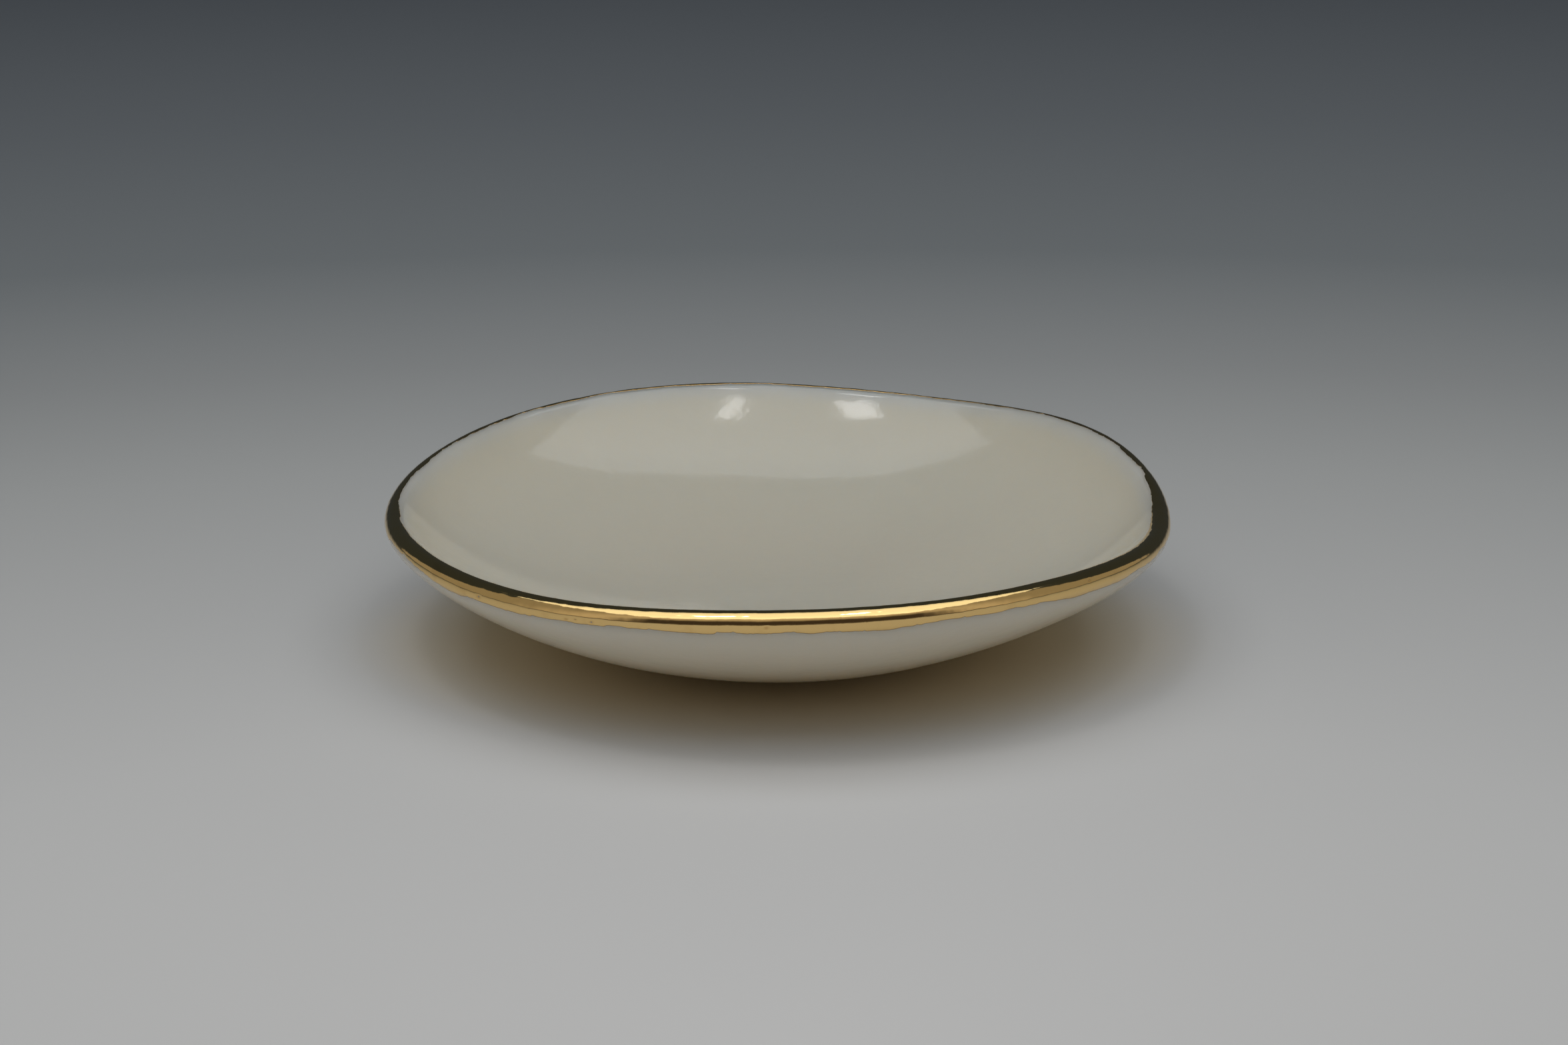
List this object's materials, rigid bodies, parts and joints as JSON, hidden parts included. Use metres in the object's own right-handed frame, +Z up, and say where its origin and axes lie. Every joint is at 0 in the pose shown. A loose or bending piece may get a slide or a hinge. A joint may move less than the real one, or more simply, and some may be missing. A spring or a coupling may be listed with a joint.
{
  "type": "ring dish",
  "caption": "Small shallow round ring dish in glazed ivory porcelain, with a gently wavy hand-formed rim, a bright gold lustre band over the lip and a low foot ring.",
  "frame": {"origin": "middle of the foot ring's land, on the surface that the dish stands on", "axes": "+Z up out of the open dish, -Y towards the side nearest the picture's camera, +X to the picture's right"},
  "size_m": [0.0779, 0.0781, 0.0161],
  "materials": {
    "porcelain": "gloss glaze, bare at the foot",
    "gold": "polished lustre"
  },
  "bodies": {
    "root": {"porcelain_body": "porcelain", "gold_rim": "gold"}
  },
  "joints": []
}
